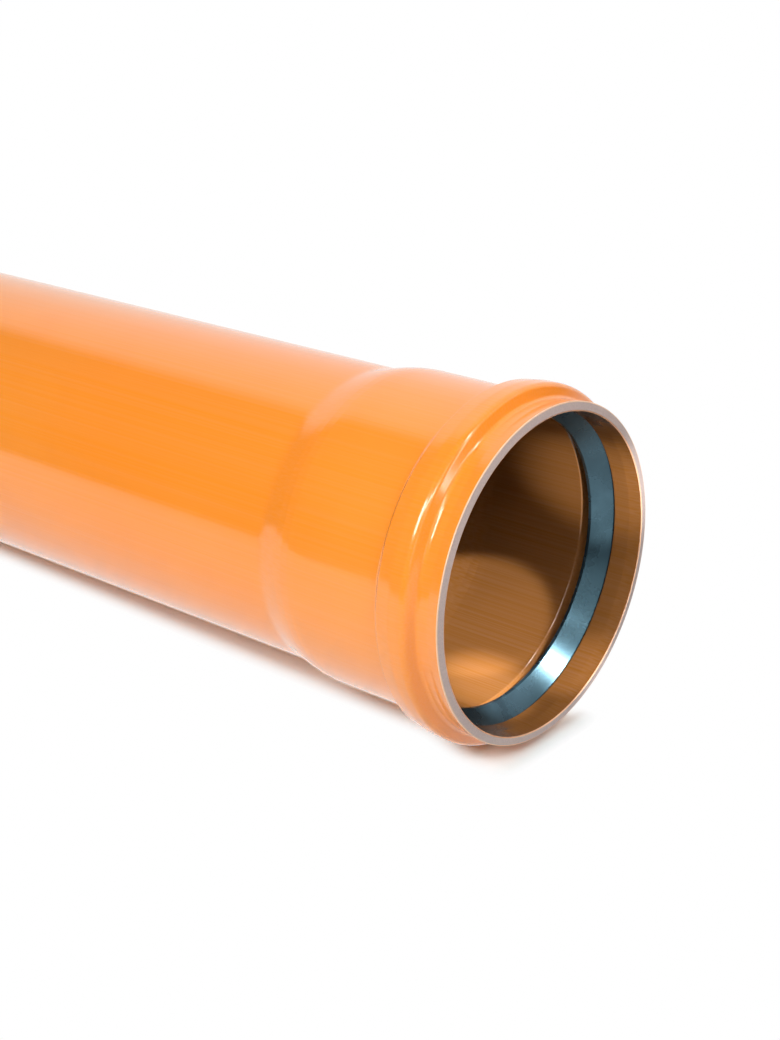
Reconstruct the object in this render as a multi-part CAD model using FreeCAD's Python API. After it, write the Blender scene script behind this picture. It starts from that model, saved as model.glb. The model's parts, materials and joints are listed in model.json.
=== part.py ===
import FreeCAD, Part
import math
import os
from collections import namedtuple

# A length of sewer pipe with a formed socket at one end and a chamfered spigot at the other,
# and the rubber lip seal that sits in the socket's bead.
#
# Both pieces are turned shapes. Their outlines are drawn as (station, radius): the station is
# the distance along the axis behind the mouth's outer edge, and the radius is from the axis.
# The finished pipe lies on a level floor at z = 0, on its bead and on its spigot, with the
# mouth towards +X and the origin under the middle of its length.
# All sizes are in millimetres, and all angles are in degrees from the axis.

# Barrel and spigot
barrel_diameter = 110.0     # outside
barrel_wall = 3.2
laying_length = 500.0       # from the end of the socket's bore to the spigot's end
chamfer_length = 6.0
chamfer_angle = 15.0

# Socket, which takes a spigot of the barrel's own diameter
socket_play = 0.2           # gap all round the spigot
socket_wall = 2.9
socket_depth = 67.0         # mouth to the start of the shoulder
shoulder_angle = 13.0
shoulder_crest_round = 45.0
shoulder_root_round = 18.0

# Lip in front of the seal: a short straight neck, then a flare out to the mouth
neck_play = 0.5             # gap all round the spigot
neck_wall = 3.2
flare_length = 4.6
flare_angle = 9.5
flare_round = 5.0
mouth_wall = 3.4
mouth_edge_round = 0.3

# Bead that holds the seal, from its steep front to its steep rear
bead_start = 8.7            # mouth to the foot of the front
bead_groove_depth = 5.1     # from the socket's bore out to the bead's inside
bead_wall = 3.0
bead_front_run = 2.5        # along the axis
bead_crest_length = 5.5     # level part of the crest
bead_slope_length = 5.6     # gently falling part of the crest
bead_slope_drop = 0.8
bead_rear_run = 3.7         # along the axis
bead_foot_round = 2.0
bead_front_round = 3.0
bead_crest_round = 12.0
bead_rear_round = 0.8
bead_inner_round = 0.8

# Rubber lip seal
seal_play = 0.1             # gap between the seal and the inside of the bead
seal_squeeze = 3.3          # how far the free lip stands inside the spigot's radius
seal_nose_height = 1.3      # from the neck's bore out to the seal's front edge
seal_heel_height = 2.2      # from the socket's bore out to the seal's rear edge
seal_heel_width = 1.6
seal_lip_reach = 6.7        # along the axis, from the front edge back to the lip's edge
seal_lip_land = 1.2         # width of the lip's edge
seal_edge_round = 0.4
seal_lip_round = 0.3

barrel_radius = barrel_diameter / 2
barrel_bore_radius = barrel_radius - barrel_wall
socket_bore_radius = barrel_radius + socket_play
socket_radius = socket_bore_radius + socket_wall
neck_bore_radius = barrel_radius + neck_play
neck_radius = neck_bore_radius + neck_wall
mouth_radius = neck_radius + flare_length * math.tan(math.radians(flare_angle))
bead_radius = socket_bore_radius + bead_groove_depth + bead_wall
seal_lip_radius = barrel_radius - seal_squeeze
spigot_rim_radius = barrel_radius - chamfer_length * math.tan(math.radians(chamfer_angle))

crest_start = bead_start + bead_front_run
crest_end = crest_start + bead_crest_length
slope_end = crest_end + bead_slope_length
bead_end = slope_end + bead_rear_run
shoulder_end = socket_depth + (socket_radius - barrel_radius) / math.tan(math.radians(shoulder_angle))
total_length = socket_depth + laying_length
chamfer_start = total_length - chamfer_length

mouth = (0, mouth_radius)
spigot_start = (chamfer_start, barrel_radius)
spigot_rim = (total_length, spigot_rim_radius)
spigot_bore = (total_length, barrel_bore_radius)

# The corners of the formed end between the mouth and the barrel, each at its place on the
# outside, with the wall under it and its rounding outside and inside
Corner = namedtuple("Corner", "place wall outer_round inner_round")
formed_corners = [
    Corner((flare_length, neck_radius), neck_wall, flare_round, flare_round),
    Corner((bead_start, neck_radius), neck_wall, bead_foot_round, bead_inner_round),
    Corner((crest_start, bead_radius), bead_wall, bead_front_round, bead_inner_round),
    Corner((crest_end, bead_radius), bead_wall, bead_crest_round, bead_crest_round - bead_wall),
    Corner((slope_end, bead_radius - bead_slope_drop), bead_wall, bead_rear_round, bead_inner_round),
    Corner((bead_end, socket_radius), socket_wall, bead_foot_round, bead_inner_round),
    Corner((socket_depth, socket_radius), socket_wall, shoulder_crest_round,
           shoulder_crest_round - socket_wall),
    Corner((shoulder_end, barrel_radius), barrel_wall, shoulder_root_round,
           shoulder_root_round + barrel_wall),
]


def heading(start, end):
    return math.atan2(end[1] - start[1], end[0] - start[0])


def inner_places(depth):
    # Where the formed corners come on the inside of the wall, or the given depth beyond it.
    route = [mouth] + [corner.place for corner in formed_corners] + [spigot_start]
    places = []
    for before, corner, after in zip(route, formed_corners, route[2:]):
        heading_in = heading(before, corner.place)
        heading_out = heading(corner.place, after)
        middle = (heading_in + heading_out) / 2
        reach = (corner.wall + depth) / math.cos((heading_out - heading_in) / 2)
        station, radius = corner.place
        places.append((station + reach * math.sin(middle), radius - reach * math.cos(middle)))
    return places


def place_at_radius(start, end, radius):
    # The place on the line from start to end that has this radius.
    share = (radius - start[1]) / (end[1] - start[1])
    return (start[0] + share * (end[0] - start[0]), radius)


def rounded(place, rounding=0):
    return (FreeCAD.Vector(-place[0], 0, place[1]), rounding)


def corner_arc(before, point, after, rounding):
    # The arc that rounds a corner, from the side before it to the side after it.
    to_before = (before - point).normalize()
    to_after = (after - point).normalize()
    half_opening = to_before.getAngle(to_after) / 2
    along = rounding / math.tan(half_opening)
    inwards = rounding / math.sin(half_opening) - rounding
    middle = point + (to_before + to_after).normalize() * inwards
    return Part.Arc(point + to_before * along, middle, point + to_after * along)


def turned_solid(corners):
    # A closed outline of (point, rounding) corners, turned about the axis.
    points = [point for point, rounding in corners]
    neighbours = zip(points[-1:] + points[:-1], corners, points[1:] + points[:1])
    arcs = [corner_arc(before, point, after, rounding) if rounding else None
            for before, (point, rounding), after in neighbours]
    starts = [arc.StartPoint if arc else point for arc, point in zip(arcs, points)]
    ends = [arc.EndPoint if arc else point for arc, point in zip(arcs, points)]
    edges = []
    for arc, end, next_start in zip(arcs, ends, starts[1:] + starts[:1]):
        if arc:
            edges.append(arc.toShape())
        edges.append(Part.LineSegment(end, next_start).toShape())
    section = Part.Face(Part.Wire(edges))
    return section.revolve(FreeCAD.Vector(0, 0, 0), FreeCAD.Vector(1, 0, 0), 360)


def make_pipe():
    slope = heading(mouth, formed_corners[0].place)
    mouth_inside = (mouth_wall * math.sin(slope), mouth_radius - mouth_wall * math.cos(slope))
    outside = [rounded(corner.place, corner.outer_round) for corner in formed_corners]
    inside = [rounded(place, corner.inner_round)
              for place, corner in zip(inner_places(0), formed_corners)]
    return turned_solid(
        [rounded(mouth, mouth_edge_round)]
        + outside
        + [rounded(spigot_start), rounded(spigot_rim), rounded(spigot_bore)]
        + inside[::-1]
        + [rounded(mouth_inside, mouth_edge_round)])


def make_seal_ring():
    # The ring fills the bead from its front wall to its rear wall, and its lip leans back and in.
    front_foot, front_top, crest_break, rear_top, rear_foot = inner_places(seal_play)[1:6]
    nose = place_at_radius(front_foot, front_top, neck_bore_radius + seal_nose_height)
    heel = place_at_radius(rear_foot, rear_top, socket_bore_radius + seal_heel_height)
    throat = (heel[0] - seal_heel_width, heel[1])
    lip_front = (nose[0] + seal_lip_reach, seal_lip_radius)
    lip_back = (lip_front[0] + seal_lip_land, seal_lip_radius)
    return turned_solid([
        rounded(nose, seal_edge_round),
        rounded(front_top, bead_inner_round),
        rounded(crest_break),
        rounded(rear_top, bead_inner_round),
        rounded(heel, seal_edge_round),
        rounded(throat),
        rounded(lip_back, seal_lip_round),
        rounded(lip_front, seal_lip_round)])


def lie_down(pieces):
    # The bead's crest and the edge of the spigot's chamfer carry the pipe, so its axis slopes.
    tilt = math.atan2(bead_radius - barrel_radius, chamfer_start - crest_end)
    axis_height = bead_radius * math.cos(tilt) + crest_end * math.sin(tilt)
    for piece in pieces:
        piece.rotate(FreeCAD.Vector(0, 0, 0), FreeCAD.Vector(0, 1, 0), -math.degrees(tilt))
    extent = pieces[0].optimalBoundingBox(False, False)
    for piece in pieces:
        piece.translate(FreeCAD.Vector(-(extent.XMin + extent.XMax) / 2, 0, axis_height))


pipe = make_pipe()
seal_ring = make_seal_ring()
lie_down([pipe, seal_ring])
os.makedirs("parts", exist_ok=True)
pipe.exportStep("parts/pipe.step")
seal_ring.exportStep("parts/seal_ring.step")
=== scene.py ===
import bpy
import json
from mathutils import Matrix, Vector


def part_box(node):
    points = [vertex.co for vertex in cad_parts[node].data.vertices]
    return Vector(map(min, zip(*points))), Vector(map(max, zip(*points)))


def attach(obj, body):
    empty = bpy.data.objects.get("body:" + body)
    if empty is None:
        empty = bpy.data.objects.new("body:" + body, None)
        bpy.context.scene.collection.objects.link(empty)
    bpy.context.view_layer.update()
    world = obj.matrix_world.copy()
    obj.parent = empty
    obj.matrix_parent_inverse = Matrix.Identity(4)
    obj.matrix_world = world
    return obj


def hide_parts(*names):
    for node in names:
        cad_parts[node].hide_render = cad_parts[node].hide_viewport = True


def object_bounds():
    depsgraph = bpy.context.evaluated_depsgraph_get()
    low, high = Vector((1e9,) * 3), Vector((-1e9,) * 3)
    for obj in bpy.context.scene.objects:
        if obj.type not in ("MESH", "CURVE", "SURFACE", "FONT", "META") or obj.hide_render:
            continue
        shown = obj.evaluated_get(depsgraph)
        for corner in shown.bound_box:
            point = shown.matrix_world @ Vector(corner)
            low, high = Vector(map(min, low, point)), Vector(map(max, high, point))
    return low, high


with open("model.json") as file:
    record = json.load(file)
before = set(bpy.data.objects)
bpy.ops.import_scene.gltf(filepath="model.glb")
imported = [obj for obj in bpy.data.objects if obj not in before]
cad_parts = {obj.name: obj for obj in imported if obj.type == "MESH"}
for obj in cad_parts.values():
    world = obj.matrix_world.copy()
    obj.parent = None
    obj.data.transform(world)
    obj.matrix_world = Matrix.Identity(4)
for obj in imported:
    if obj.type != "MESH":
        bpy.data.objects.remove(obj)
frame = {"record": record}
cadBox = [list(corner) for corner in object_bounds()]

import bmesh
import bpy
import json
import math
from mathutils import Matrix, Vector

# A length of sewer pipe with its rubber seal, lying on a white floor. Outlines are in mm, and
# everything that stands in the scene is in metres.

mm = 0.001
scene = bpy.context.scene
mounts = {mount["name"]: mount for mount in frame["record"]["mounts"]}
mouthWay = Vector(mounts["socket_neck"]["axis"]).normalized()      # along the axis, out of the mouth


class Wire:
    # One output socket. Arithmetic on it adds Math nodes to its tree.
    def __init__(self, tree, socket):
        self.tree = tree
        self.socket = socket

    def calc(self, operation, *values):
        return self.tree.add("Math", {"operation": operation}, dict(enumerate(values)))

    def __add__(self, other):
        return self.calc("ADD", self, other)

    def __radd__(self, other):
        return self.calc("ADD", other, self)

    def __sub__(self, other):
        return self.calc("SUBTRACT", self, other)

    def __rsub__(self, other):
        return self.calc("SUBTRACT", other, self)

    def __mul__(self, other):
        return self.calc("MULTIPLY", self, other)

    def __rmul__(self, other):
        return self.calc("MULTIPLY", other, self)

    def root(self):
        return self.calc("SQRT", self)

    def size(self):
        return self.calc("ABSOLUTE", self)

    def most(self, other):
        return self.calc("MAXIMUM", self, other)

    def band(self, low, high, lowResult=0.0, highResult=1.0):
        # Goes smoothly from lowResult at low to highResult at high.
        settings = {"interpolation_type": "SMOOTHSTEP"}
        sockets = {"Value": self, "From Min": low, "From Max": high,
                   "To Min": lowResult, "To Max": highResult}
        return self.tree.add("MapRange", settings, sockets)


class Tree:
    # A material's or the world's nodes.
    def __init__(self, owner):
        owner.use_nodes = True
        self.tree = owner.node_tree
        self.tree.nodes.clear()

    def add(self, kind, settings=None, sockets=None, out=0):
        node = self.tree.nodes.new("ShaderNode" + kind)
        for name, value in (settings or {}).items():
            setattr(node, name, value)
        for name, value in (sockets or {}).items():
            if isinstance(value, Wire):
                self.tree.links.new(value.socket, node.inputs[name])
            else:
                node.inputs[name].default_value = value
        return Wire(self, node.outputs[out]) if node.outputs else None

    def place(self):
        # The place on the pipe: X runs along its axis out of the mouth, Y and Z across it.
        sockets = {"Vector": self.add("TexCoord", out="Object"), "Location": mouthCentre,
                   "Rotation": laid.to_euler()}
        return self.add("Mapping", {"vector_type": "TEXTURE"}, sockets)

    def split(self, vector, *names):
        node = self.add("SeparateXYZ", None, {"Vector": vector}).socket.node
        return [Wire(self, node.outputs[name]) for name in names]

    def stretched(self, place, along, across):
        sockets = {0: place, 1: (along, across, across)}
        return self.add("VectorMath", {"operation": "MULTIPLY"}, sockets)

    def noise(self, vector, scale=1.0, detail=2.0, roughness=0.5):
        sockets = {"Vector": vector, "Scale": scale, "Detail": detail, "Roughness": roughness}
        return self.add("TexNoise", None, sockets)

    def blend(self, factor, first, second):
        settings = {"data_type": "RGBA", "clamp_factor": True}
        return self.add("Mix", settings, {0: factor, 6: first, 7: second}, out=2)

    def bump(self, height, distance, normal=None):
        sockets = {"Height": height, "Strength": 1.0, "Distance": distance}
        if normal:
            sockets["Normal"] = normal
        return self.add("Bump", None, sockets)

    def finish(self, shader):
        self.add("OutputMaterial", None, {"Surface": shader})


def newFinish(name, displayColour):
    material = bpy.data.materials.new(name)
    material.diffuse_color = displayColour
    return material, Tree(material)


def grey(level):
    return (level, level, level, 1.0)


# Outlines are (station, radius, surface): stations run back from the mouth's outer edge along
# the axis, and radii go out from the axis.

pipeSizes = {
    "barrelRadius": 55.0, "barrelWall": 3.2, "totalLength": 567.0,
    "chamferLength": 6.0, "chamferAngle": 15.0,
    "socketPlay": 0.2, "socketWall": 2.9, "socketDepth": 67.0, "shoulderAngle": 13.0,
    "shoulderCrestRound": 45.0, "shoulderRootRound": 18.0,
    "neckPlay": 0.5, "neckWall": 3.2, "flareLength": 4.6, "flareAngle": 9.5, "flareRound": 5.0,
    "mouthWall": 3.4, "mouthEdgeRound": 0.3,
    "beadStart": 8.7, "beadDepth": 5.1, "beadWall": 3.0, "beadFrontRun": 2.5,
    "beadCrest": 5.5, "beadSlope": 5.6, "beadDrop": 0.8, "beadRearRun": 3.7,
    "beadFootRound": 2.0, "beadFrontRound": 3.0, "beadCrestRound": 12.0, "beadRearRound": 0.8,
    "beadInnerRound": 0.8,
    "skin": 0.34,             # thickness of each orange skin on the grey core
    "mouthSkin": 0.425,       # the same on the mouth's face, whose rounded edges take part of it
    "turnSteps": 320, "arcStep": 5.0, "edgeLoop": 0.25,
}
sealSizes = {
    "play": 0.1, "squeeze": 3.3, "noseHeight": 1.3, "heelHeight": 2.2, "heelWidth": 1.6,
    "lipReach": 6.7, "lipLand": 1.2, "edgeRound": 0.4, "lipRound": 0.3,
    "turnSteps": 320, "arcStep": 9.0, "edgeLoop": 0.12,
}
fewestArcSteps = 3
loopRoom = 4                  # a run this many loop widths long gets a close loop at each end
outsideSkin, boreSkin, cutSkinAndEdgeHighlight, cutCore = range(4)      # the pipe's surfaces


def heading(start, end):
    return math.atan2(end[1] - start[1], end[0] - start[0])


def formedCorners(size):
    # (place outside, wall, round outside, round inside) from the flare to the barrel
    socketBore = size["barrelRadius"] + size["socketPlay"]
    socketRadius = socketBore + size["socketWall"]
    neckRadius = size["barrelRadius"] + size["neckPlay"] + size["neckWall"]
    beadRadius = socketBore + size["beadDepth"] + size["beadWall"]
    crestStart = size["beadStart"] + size["beadFrontRun"]
    crestEnd = crestStart + size["beadCrest"]
    slopeEnd = crestEnd + size["beadSlope"]
    beadEnd = slopeEnd + size["beadRearRun"]
    shoulderRise = socketRadius - size["barrelRadius"]
    shoulderEnd = size["socketDepth"] + shoulderRise / math.tan(math.radians(size["shoulderAngle"]))
    flareRound = size["flareRound"]
    inner = size["beadInnerRound"]
    return [
        ((size["flareLength"], neckRadius), size["neckWall"], flareRound, flareRound),
        ((size["beadStart"], neckRadius), size["neckWall"], size["beadFootRound"], inner),
        ((crestStart, beadRadius), size["beadWall"], size["beadFrontRound"], inner),
        ((crestEnd, beadRadius), size["beadWall"], size["beadCrestRound"],
         size["beadCrestRound"] - size["beadWall"]),
        ((slopeEnd, beadRadius - size["beadDrop"]), size["beadWall"], size["beadRearRound"], inner),
        ((beadEnd, socketRadius), size["socketWall"], size["beadFootRound"], inner),
        ((size["socketDepth"], socketRadius), size["socketWall"], size["shoulderCrestRound"],
         size["shoulderCrestRound"] - size["socketWall"]),
        ((shoulderEnd, size["barrelRadius"]), size["barrelWall"], size["shoulderRootRound"],
         size["shoulderRootRound"] + size["barrelWall"]),
    ]


def mouthPlace(size):
    neckRadius = size["barrelRadius"] + size["neckPlay"] + size["neckWall"]
    return (0.0, neckRadius + size["flareLength"] * math.tan(math.radians(size["flareAngle"])))


def chamferPlace(size):
    return (size["totalLength"] - size["chamferLength"], size["barrelRadius"])


def insidePlaces(size, depth):
    # The formed corners on the inside of the wall, or depth mm beyond it.
    corners = formedCorners(size)
    route = [mouthPlace(size)] + [corner[0] for corner in corners] + [chamferPlace(size)]
    places = []
    for before, (place, wall, _, _), after in zip(route, corners, route[2:]):
        headingIn = heading(before, place)
        headingOut = heading(place, after)
        middle = (headingIn + headingOut) / 2
        reach = (wall + depth) / math.cos((headingOut - headingIn) / 2)
        places.append((place[0] + reach * math.sin(middle), place[1] - reach * math.cos(middle)))
    return places


def roundedOutline(corners, size):
    # corners are (place, rounding, surface on its arc, surface after it). Arcs come in short
    # steps, and each long run gets a close loop at its ends, which keeps the shading clean.
    points = []
    for index, (place, rounding, arcSurface, surface) in enumerate(corners):
        here = Vector(place)
        if not rounding:
            points.append((here, surface))
            continue
        toBefore = (Vector(corners[index - 1][0]) - here).normalized()
        toAfter = (Vector(corners[(index + 1) % len(corners)][0]) - here).normalized()
        opening = toBefore.angle(toAfter)
        along = rounding / math.tan(opening / 2)
        centre = here + (toBefore + toAfter).normalized() * (rounding / math.sin(opening / 2))
        start = here + toBefore * along - centre
        turn = math.pi - opening
        if start.x * toAfter.y - start.y * toAfter.x < 0:
            turn = -turn
        steps = max(fewestArcSteps, math.ceil(abs(math.degrees(turn)) / size["arcStep"]))
        for step in range(steps + 1):
            angle = turn * step / steps
            spoke = Vector((start.x * math.cos(angle) - start.y * math.sin(angle),
                            start.x * math.sin(angle) + start.y * math.cos(angle)))
            points.append((centre + spoke, surface if step == steps else arcSurface))
    outline = []
    for index, (here, surface) in enumerate(points):
        after = points[(index + 1) % len(points)][0]
        run = (after - here).length
        outline.append((here.x, here.y, surface))
        if run > loopRoom * size["edgeLoop"]:
            way = (after - here) / run
            for reach in (size["edgeLoop"], run - size["edgeLoop"]):
                beside = here + way * reach
                outline.append((beside.x, beside.y, surface))
    return outline


def between(start, end, reach):
    # The place this many mm from start towards end.
    share = reach / math.dist(start, end)
    return (start[0] + (end[0] - start[0]) * share, start[1] + (end[1] - start[1]) * share)


def atRadius(start, end, radius):
    # The place on the line from start to end that has this radius.
    share = (radius - start[1]) / (end[1] - start[1])
    return (start[0] + (end[0] - start[0]) * share, radius)


def pipeOutline(size):
    corners = formedCorners(size)
    inside = insidePlaces(size, 0)
    mouth = mouthPlace(size)
    slope = heading(mouth, corners[0][0])
    mouthInside = (size["mouthWall"] * math.sin(slope), mouth[1] - size["mouthWall"] * math.cos(slope))
    chamferSlope = math.radians(size["chamferAngle"])
    chamferStart = chamferPlace(size)
    chamferSkin = size["skin"] / math.sin(chamferSlope)     # the slanting cut shows more of it
    end = size["totalLength"]
    bore = size["barrelRadius"] - size["barrelWall"]
    rim = (end, size["barrelRadius"] - size["chamferLength"] * math.tan(chamferSlope))

    # The mouth's rounded outer edge takes the cut skin's paler colour, a painted highlight of the light
    # it catches.
    route = [(mouth, size["mouthEdgeRound"], cutSkinAndEdgeHighlight, outsideSkin)]
    for place, _, roundOutside, _ in corners:
        route.append((place, roundOutside, outsideSkin, outsideSkin))
    route.append((chamferStart, 0, cutSkinAndEdgeHighlight, cutSkinAndEdgeHighlight))
    route.append((between(chamferStart, rim, chamferSkin), 0, cutCore, cutCore))
    route.append((rim, 0, cutCore, cutCore))
    route.append(((end, bore + size["skin"]), 0, cutSkinAndEdgeHighlight, cutSkinAndEdgeHighlight))
    route.append(((end, bore), 0, boreSkin, boreSkin))
    for place, (_, _, _, roundInside) in zip(inside[::-1], corners[::-1]):
        route.append((place, roundInside, boreSkin, boreSkin))
    # The mouth's rounded inner edge also takes the cut skin's paler colour, a painted highlight.
    route.append((mouthInside, size["mouthEdgeRound"], cutSkinAndEdgeHighlight, cutSkinAndEdgeHighlight))
    route.append((between(mouthInside, mouth, size["mouthSkin"]), 0, cutCore, cutCore))
    route.append((between(mouth, mouthInside, size["mouthSkin"]), 0, cutSkinAndEdgeHighlight, cutSkinAndEdgeHighlight))
    return roundedOutline(route, size)


def sealOutline(size, pipe):
    # The seal fills the bead less its play, and its lip leans back and in.
    frontFoot, frontTop, crestBreak, rearTop, rearFoot = insidePlaces(pipe, size["play"])[1:6]
    nose = atRadius(frontFoot, frontTop, pipe["barrelRadius"] + pipe["neckPlay"] + size["noseHeight"])
    heel = atRadius(rearFoot, rearTop, pipe["barrelRadius"] + pipe["socketPlay"] + size["heelHeight"])
    throat = (heel[0] - size["heelWidth"], heel[1])
    lipRadius = pipe["barrelRadius"] - size["squeeze"]
    lipFront = (nose[0] + size["lipReach"], lipRadius)
    lipBack = (lipFront[0] + size["lipLand"], lipRadius)
    return roundedOutline([
        (nose, size["edgeRound"], 0, 0),
        (frontTop, pipe["beadInnerRound"], 0, 0),
        (crestBreak, 0, 0, 0),
        (rearTop, pipe["beadInnerRound"], 0, 0),
        (heel, size["edgeRound"], 0, 0),
        (throat, 0, 0, 0),
        (lipBack, size["lipRound"], 0, 0),
        (lipFront, size["lipRound"], 0, 0)], size)


sharpAngle = math.radians(12)
mapMargin = 0.004             # clear space round the strips of the bake map
mapMiddle = 0.5               # where the map's two strips meet, half a margin from each
thinBandRoom = 9.0            # times the room on the map that the thin bands of a cut end get
cm3PerM3 = 1e6


def bakeMap(outline, strips):
    # From and to what share of its strip's height each run of the outline goes, and the strip's
    # sides. strips are (first point, last point, left side, right side).
    places = {}
    for first, last, left, right in strips:
        heights = [0.0]
        for index in range(first, last):
            here = outline[index % len(outline)]
            after = outline[(index + 1) % len(outline)]
            room = thinBandRoom if here[2] in (cutSkinAndEdgeHighlight, cutCore) else 1.0
            heights.append(heights[-1] + math.dist(here[:2], after[:2]) * room)
        for index in range(first, last):
            bottom = heights[index - first] / heights[-1]
            top = heights[index - first + 1] / heights[-1]
            places[index % len(outline)] = (bottom, top, left, right)
    return places


def turned(name, outline, size, strips):
    # The outline turned about the axis: X out of the mouth, in metres.
    steps = size["turnSteps"]
    verts = []
    for station, radius, _ in outline:
        for step in range(steps):
            angle = 2 * math.pi * step / steps
            verts.append((-station * mm, -radius * mm * math.sin(angle), radius * mm * math.cos(angle)))
    mapPlaces = bakeMap(outline, strips)
    mapHeight = 1 - 2 * mapMargin
    faces = []
    surfaces = []
    mapCorners = []
    for index, (_, _, surface) in enumerate(outline):
        after = (index + 1) % len(outline)
        bottom, top, left, right = mapPlaces[index]
        bottom = mapMargin + bottom * mapHeight
        top = mapMargin + top * mapHeight
        for step in range(steps):
            turn = (step + 1) % steps
            faces.append((index * steps + step, index * steps + turn,
                          after * steps + turn, after * steps + step))
            surfaces.append(surface)
            start = left + (right - left) * step / steps
            end = left + (right - left) * (step + 1) / steps
            mapCorners += [start, bottom, end, bottom, end, top, start, top]
    mesh = bpy.data.meshes.new(name)
    mesh.from_pydata(verts, [], faces)
    mesh.polygons.foreach_set("material_index", surfaces)
    mesh.uv_layers.new(name="OFBake").data.foreach_set("uv", mapCorners)
    mesh.update()
    mesh.shade_smooth()
    mesh.set_sharp_from_angle(angle=sharpAngle)
    piece = bpy.data.objects.new(name, mesh)
    scene.collection.objects.link(piece)
    return piece


def rightWayOut(piece):
    # Turns the faces outwards if the outline ran the other way.
    work = bmesh.new()
    work.from_mesh(piece.data)
    if work.calc_volume(signed=True) < 0:
        bmesh.ops.reverse_faces(work, faces=work.faces)
    print(piece.name, "volume in cm3", round(work.calc_volume() * cm3PerM3, 1))
    work.to_mesh(piece.data)
    work.free()


def layingMatrix(piece, node):
    # Lays a turned piece along the record's axis, with its box on the CAD node's box.
    side = Vector((0, 1, 0))
    matrix = Matrix((mouthWay, side, mouthWay.cross(side))).transposed().to_4x4()
    places = [matrix @ vertex.co for vertex in piece.data.vertices]
    low = Vector([min(place[axis] for place in places) for axis in range(3)])
    high = Vector([max(place[axis] for place in places) for axis in range(3)])
    cadLow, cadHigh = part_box(node)
    matrix.translation = (cadLow + cadHigh) / 2 - (low + high) / 2
    print(node, "box differs from the frame's by", (high - low) - (cadHigh - cadLow))
    return matrix


pipeLine = pipeOutline(pipeSizes)
boreStart = next(index for index, point in enumerate(pipeLine) if point[2] == boreSkin)
pipeWall = turned("pipe_wall", pipeLine, pipeSizes, [
    (0, boreStart, mapMargin, mapMiddle - mapMargin / 2),
    (boreStart, len(pipeLine), mapMiddle + mapMargin / 2, 1 - mapMargin)])
sealLine = sealOutline(sealSizes, pipeSizes)
sealRing = turned("rubber_ring", sealLine, sealSizes, [(0, len(sealLine), mapMargin, 1 - mapMargin)])
rightWayOut(pipeWall)
rightWayOut(sealRing)
laid = layingMatrix(pipeWall, "pipe")
mouthCentre = laid.translation.copy()
pipeWall.data.transform(laid)
sealRing.data.transform(laid)
print("meshes made:", len(pipeWall.data.polygons), "and", len(sealRing.data.polygons), "faces")


plasticLook = {
    "orange": (0.96, 0.270, 0.012, 1.0),
    "paler": (0.97, 0.300, 0.022, 1.0),
    # The bore's colour is darker and browner than the outside orange: painted shade, the inside darkened
    # to how dim it looks in its own shade.
    "bore": (0.24, 0.085, 0.009, 1.0),
    "roughness": 0.17, "ior": 1.53, "coat": 0.3, "coatRoughness": 0.08, "coatIor": 1.5,
    "cloudScale": 9.0, "cloudFrom": 0.35, "cloudTo": 0.7, "cloudRoughness": 0.04,
    "drawLines": 1400.0, "drawLineStretch": 3.0, "drawDepth": 0.0000005,
    "drawPale": 0.02, "drawContrast": 0.05, "drawRoughness": 0.03,
    "orangePeel": 420.0, "peelDepth": 0.0000025,
    "waveScale": 14.0, "waveStretch": 0.35, "waveDepth": 0.00002,
}


def makePlastic(name, look, base, paler):
    # Glossy plastic with faint draw lines along the pipe, orange peel and slow waves.
    material, tree = newFinish(name, base)
    place = tree.place()
    clouds = tree.noise(place, look["cloudScale"], detail=3.0)
    lines = tree.noise(tree.stretched(place, look["drawLineStretch"], look["drawLines"]), detail=1.0)
    peel = tree.noise(place, look["orangePeel"], detail=1.0)
    waves = tree.noise(tree.stretched(place, look["waveStretch"], 1.0), look["waveScale"], detail=0.0)
    colour = tree.blend(clouds.band(look["cloudFrom"], look["cloudTo"]), base, paler)
    dust = (lines - 0.5) * look["drawContrast"] + look["drawPale"]
    colour = tree.blend(dust, colour, grey(1.0))
    roughness = look["roughness"] + (clouds - 0.5) * look["cloudRoughness"]
    roughness = roughness + (lines - 0.5) * look["drawRoughness"]
    normal = tree.bump(waves, look["waveDepth"])
    normal = tree.bump(lines, look["drawDepth"], normal)
    normal = tree.bump(peel, look["peelDepth"], normal)
    shader = tree.add("BsdfPrincipled", None, {
        "Base Color": colour, "Roughness": roughness, "Normal": normal, "IOR": look["ior"],
        "Coat Weight": look["coat"], "Coat Roughness": look["coatRoughness"],
        "Coat IOR": look["coatIor"]})
    tree.finish(shader)
    return material


cutLook = {
    # The cut skin is paler cream than the orange skin: partly the cut layer's own tone, partly a painted
    # highlight for the light that the mouth's rounded edges catch.
    "skin": (0.92, 0.56, 0.33, 1.0),
    "skinPale": 0.82, "skinPaleShare": 0.25, "skinRoughness": 0.42, "skinGrain": 900.0,
    "core": (0.60, 0.46, 0.42, 1.0),
    "coreDark": (0.52, 0.40, 0.37, 1.0),
    "coreRoughness": 0.55, "cellScale": 1800.0, "cellFrom": 0.3, "cellTo": 0.75, "cellRise": 0.6,
    "sawAlong": 60.0, "sawAcross": 700.0, "sawDepth": 0.00001,
    "ior": 1.5,
}


def makeCutSkin(look):
    material, tree = newFinish("cut skin with painted edge highlight", look["skin"])
    pale = tree.noise(tree.place(), look["skinGrain"]) * look["skinPaleShare"]
    colour = tree.blend(pale, look["skin"], grey(look["skinPale"]))
    shader = tree.add("BsdfPrincipled", None, {
        "Base Color": colour, "Roughness": look["skinRoughness"], "IOR": look["ior"]})
    tree.finish(shader)
    return material


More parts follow.
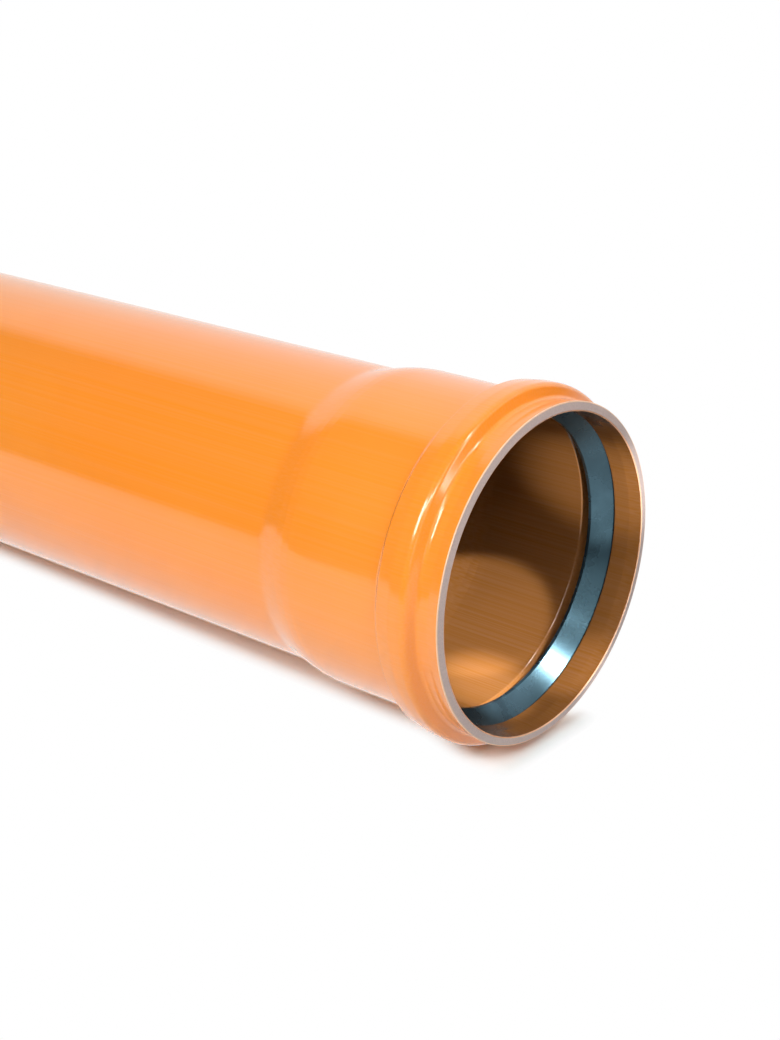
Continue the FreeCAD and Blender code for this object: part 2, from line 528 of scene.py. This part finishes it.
def makeCutCore(look):
    # The foamed core's fine cells, under the marks of the saw.
    material, tree = newFinish("cut core", look["core"])
    place = tree.place()
    cells = tree.noise(place, look["cellScale"])
    saw = tree.noise(tree.stretched(place, look["sawAlong"], look["sawAcross"]), detail=1.0)
    colour = tree.blend(cells.band(look["cellFrom"], look["cellTo"]), look["core"], look["coreDark"])
    normal = tree.bump(saw + cells * look["cellRise"], look["sawDepth"])
    shader = tree.add("BsdfPrincipled", None, {
        "Base Color": colour, "Roughness": look["coreRoughness"], "Normal": normal,
        "IOR": look["ior"]})
    tree.finish(shader)
    return material


# In the order of the surfaces' numbers
pipeWall.data.materials.append(makePlastic("pipe orange", plasticLook,
                                           plasticLook["orange"], plasticLook["paler"]))
# The bore's finish is the same plastic in that darker colour, as painted shade of the inside.
pipeWall.data.materials.append(makePlastic("bore orange in painted shade", plasticLook,
                                           plasticLook["bore"], plasticLook["bore"]))
pipeWall.data.materials.append(makeCutSkin(cutLook))
pipeWall.data.materials.append(makeCutCore(cutLook))
print("pipe finishes made")


rubberLook = {
    "dark": (0.010, 0.018, 0.024, 1.0),
    "bloom": (0.026, 0.048, 0.062, 1.0),
    "sheen": (0.42, 0.80, 1.0, 1.0),
    "roughness": 0.27, "roughnessSpread": 0.25, "ior": 1.8,
    "cloudScale": 60.0, "cloudFrom": 0.35, "cloudTo": 0.75,
    "grainScale": 1500.0, "grainDepth": 0.000006,
}


def makeRubber(look):
    material, tree = newFinish("seal rubber", look["dark"])
    place = tree.place()
    clouds = tree.noise(place, look["cloudScale"], detail=4.0, roughness=0.6)
    grain = tree.noise(place, look["grainScale"])
    colour = tree.blend(clouds.band(look["cloudFrom"], look["cloudTo"]), look["dark"], look["bloom"])
    roughness = look["roughness"] + (clouds - 0.5) * look["roughnessSpread"]
    shader = tree.add("BsdfPrincipled", None, {
        "Base Color": colour, "Roughness": roughness, "Normal": tree.bump(grain, look["grainDepth"]),
        "IOR": look["ior"], "Specular IOR Level": 0.5, "Specular Tint": look["sheen"]})
    tree.finish(shader)
    return material


sealRing.data.materials.append(makeRubber(rubberLook))
print("seal finish made")

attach(pipeWall, "root")
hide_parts("pipe")
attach(sealRing, "root")
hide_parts("seal_ring")
print("pieces ride on the frame")


floorSizes = {
    "west": -1.3, "east": 1.3, "near": -0.44, "far": 1.8,
    "tint": (0.89, 0.98, 1.0, 1.0),
    "pale": 0.92,             # the floor's own colour, as the camera and gloss see it
    "dull": 0.95,             # how pale it is to light that it sends on to the pipe
    "flagFrom": 0.25, "flagTo": 0.34, "flagDull": 0.28,     # darker to that light before the mouth
    "lift": 0.03, "liftTint": (0.5, 0.9, 1.0, 1.0),         # a little glow in the shadow
    "underPipe": 0.013,       # half the width of the floor that keeps its whole shadow
    "mouthFrom": 0.245, "mouthTo": 0.272, "underMouth": 0.0055,     # wider at the mouth
    "clearTo": 0.012,         # how far out from there the floor turns plain white
    "endHaste": 2.0,          # how many times sooner past the pipe's ends
    "glossClear": 0.93,       # how plain the floor is to gloss everywhere
}


def makeFloor(size):
    mesh = bpy.data.meshes.new("floor")
    west, east, near, far = size["west"], size["east"], size["near"], size["far"]
    mesh.from_pydata([(west, near, 0), (east, near, 0), (east, far, 0), (west, far, 0)],
                     [], [(0, 1, 2, 3)])
    floor = bpy.data.objects.new("floor", mesh)
    scene.collection.objects.link(floor)
    material, tree = newFinish("floor white", grey(size["pale"]))
    alongPipe, acrossPipe = tree.split(tree.add("TexCoord", out="Object"), "X", "Y")
    beyondEnd = (alongPipe.size() - cadBox[1][0]).most(0.0) * size["endHaste"]
    underMouth = alongPipe.band(size["mouthFrom"], size["mouthTo"], 0.0, size["underMouth"])
    beyondSide = (acrossPipe.size() - size["underPipe"] - underMouth).most(0.0)
    out = (beyondEnd * beyondEnd + beyondSide * beyondSide).root()
    glossy = tree.add("LightPath", out="Is Glossy Ray")
    seen = tree.add("LightPath", out="Is Camera Ray") + glossy
    seen = seen + tree.add("LightPath", out="Is Transmission Ray")
    clear = out.band(0.0, size["clearTo"]).most(glossy * size["glossClear"])
    dull = alongPipe.band(size["flagFrom"], size["flagTo"], size["dull"], size["flagDull"])
    tone = dull * (1 - seen) + seen * size["pale"]
    lit = tree.add("BsdfDiffuse", None, {"Color": tree.blend(tone, grey(0.0), size["tint"])})
    liftColour = tree.blend(seen, grey(0.0), size["liftTint"])
    lift = tree.add("Emission", None, {"Color": liftColour, "Strength": size["lift"]})
    shaded = tree.add("AddShader", None, {0: lit, 1: lift})
    plain = tree.add("Emission", None, {"Color": grey(1.0), "Strength": 1.0})
    tree.finish(tree.add("MixShader", None, {0: seen * clear, 1: shaded, 2: plain}))
    mesh.materials.append(material)


roomSizes = {
    "pale": 1.1,              # the bright side of the room, behind the pipe
    "dark": 0.02,             # the rest of the room
    "northFrom": -0.02, "northTo": 0.24,      # where it turns pale, as parts of a unit direction
    "eastFrom": 0.35, "eastTo": 0.05,
}


def makeWorld(size):
    # Pale behind the pipe and dark on the near side, and plain white to the camera.
    world = bpy.data.worlds.new("studio")
    scene.world = world
    tree = Tree(world)
    east, north = tree.split(tree.add("TexCoord", out="Generated"), "X", "Y")
    bright = north.band(size["northFrom"], size["northTo"]) * east.band(size["eastFrom"], size["eastTo"])
    room = size["dark"] + bright * (size["pale"] - size["dark"])
    seen = tree.add("LightPath", out="Is Camera Ray") + tree.add("LightPath", out="Is Transmission Ray")
    seen = seen + tree.add("LightPath", out="Is Glossy Ray") * bright
    background = tree.add("Background", None, {
        "Color": grey(1.0), "Strength": room * (1 - seen) + seen})
    tree.add("OutputWorld", None, {"Surface": background})


# Lamps stand at (turn, height, reach) from the mouth's centre: degrees round from straight in
# front of its near side, degrees up, and metres. Powers are in watts.
softBoxes = [
    {"name": "side lamp", "at": (4, 38, 1.35), "width": 0.55, "length": 0.45, "power": 13.3},
    {"name": "bead lamp", "at": (42, 42, 1.0), "width": 0.50, "length": 0.06, "power": 2.3},
    {"name": "seal lamp", "at": (100, 55, 0.9), "width": 0.07, "length": 0.07, "power": 1.0},
]
strips = [                    # each lies along the line between its two ends
    {"name": "seal strip", "from": (44, 6, 0.9), "to": (78, 52, 0.9),
     "width": 0.06, "length": 0.80, "power": 0.80},
    {"name": "rear strip", "from": (105, 56, 0.9), "to": (158, 40, 0.9),
     "width": 0.08, "length": 0.55, "power": 0.4},
    {"name": "bore strip", "from": (95.9, 18.3, 1.15), "to": (107.2, 42.7, 0.95),
     "width": 0.08, "length": 0.55, "power": 1.4},
]
spots = [                     # narrow ones through the mouth, each aimed this far from its centre
    {"name": "bore spot", "at": (65, 40, 1.2), "aim": (0.0, 0.002, 0.008),
     "spread": 2.5, "blend": 0.22, "power": 88.0},
    {"name": "bore rim spot", "at": (65, 40, 1.2), "aim": (0.0, -0.008, -0.025),
     "spread": 1.8, "blend": 1.0, "power": 230.0},
    {"name": "seal spot", "at": (97, 55, 0.9), "aim": (-0.0106, 0.0268, -0.0490),
     "spread": 2.0, "blend": 0.9, "power": 40.0},
    {"name": "glow spot", "at": (55, 0, 1.0), "aim": (-0.016, 0.054, 0.014),
     "spread": 2.8, "blend": 1.0, "power": 55.0},
]
spotRadius = 0.002


def aroundMouth(turn, height, reach):
    turn = math.radians(turn)
    height = math.radians(height)
    way = Vector((math.sin(turn) * math.cos(height), -math.cos(turn) * math.cos(height),
                  math.sin(height)))
    return mouthCentre + way * reach


def softBox(size, place, along):
    # An area lamp that faces the mouth, with its length in the plane of along.
    light = bpy.data.lights.new(size["name"], "AREA")
    light.shape = "RECTANGLE"
    light.size = size["width"]
    light.size_y = size["length"]
    light.energy = size["power"]
    lamp = bpy.data.objects.new(size["name"], light)
    back = (place - mouthCentre).normalized()
    up = (along - back * along.dot(back)).normalized()
    facing = Matrix((up.cross(back), up, back)).transposed().to_4x4()
    lamp.matrix_world = Matrix.Translation(place) @ facing
    scene.collection.objects.link(lamp)


def spot(size):
    light = bpy.data.lights.new(size["name"], "SPOT")
    light.energy = size["power"]
    light.spot_size = math.radians(size["spread"])
    light.spot_blend = size["blend"]
    light.shadow_soft_size = spotRadius
    lamp = bpy.data.objects.new(size["name"], light)
    lamp.location = aroundMouth(*size["at"])
    lamp.rotation_mode = "QUATERNION"
    way = mouthCentre + Vector(size["aim"]) - lamp.location
    lamp.rotation_quaternion = way.to_track_quat("-Z", "Y")
    scene.collection.objects.link(lamp)


makeFloor(floorSizes)
makeWorld(roomSizes)
for size in softBoxes:
    softBox(size, aroundMouth(*size["at"]), Vector((0, 0, 1)))
for size in strips:
    start = aroundMouth(*size["from"])
    end = aroundMouth(*size["to"])
    softBox(size, (start + end) / 2, end - start)
for size in spots:
    spot(size)
print("floor, backdrop and lamps made")


viewSizes = {
    "turn": 40.22,            # degrees round from the far side of the pipe's mouth
    "pitch": 22.86,           # degrees down
    "lens": 61.96,            # mm on the sensor below
    "sensor": 36.0,
    "clipStart": 0.01,
    "distance": 0.59772,      # m, from the lens to the mouth's centre along the line of sight
    "mouthRight": 0.05282,    # m, how far the mouth's centre lies right of the middle
    "mouthDown": 0.01858,
}


def makeCamera(size):
    turn = math.radians(size["turn"])
    pitch = math.radians(size["pitch"])
    right = Vector((math.cos(turn), math.sin(turn), 0))
    ahead = Vector((-math.sin(turn) * math.cos(pitch), math.cos(turn) * math.cos(pitch),
                    -math.sin(pitch)))
    down = ahead.cross(right)
    camera = bpy.data.cameras.new("camera")
    camera.lens = size["lens"]
    camera.sensor_width = size["sensor"]
    camera.clip_start = size["clipStart"]
    body = bpy.data.objects.new("camera", camera)
    body.location = (mouthCentre - right * size["mouthRight"] - down * size["mouthDown"]
                     - ahead * size["distance"])
    body.rotation_mode = "QUATERNION"
    body.rotation_quaternion = ahead.to_track_quat("-Z", "Y")
    scene.collection.objects.link(body)
    scene.camera = body


makeCamera(viewSizes)
scene.view_settings.view_transform = "Standard"
print("camera set")
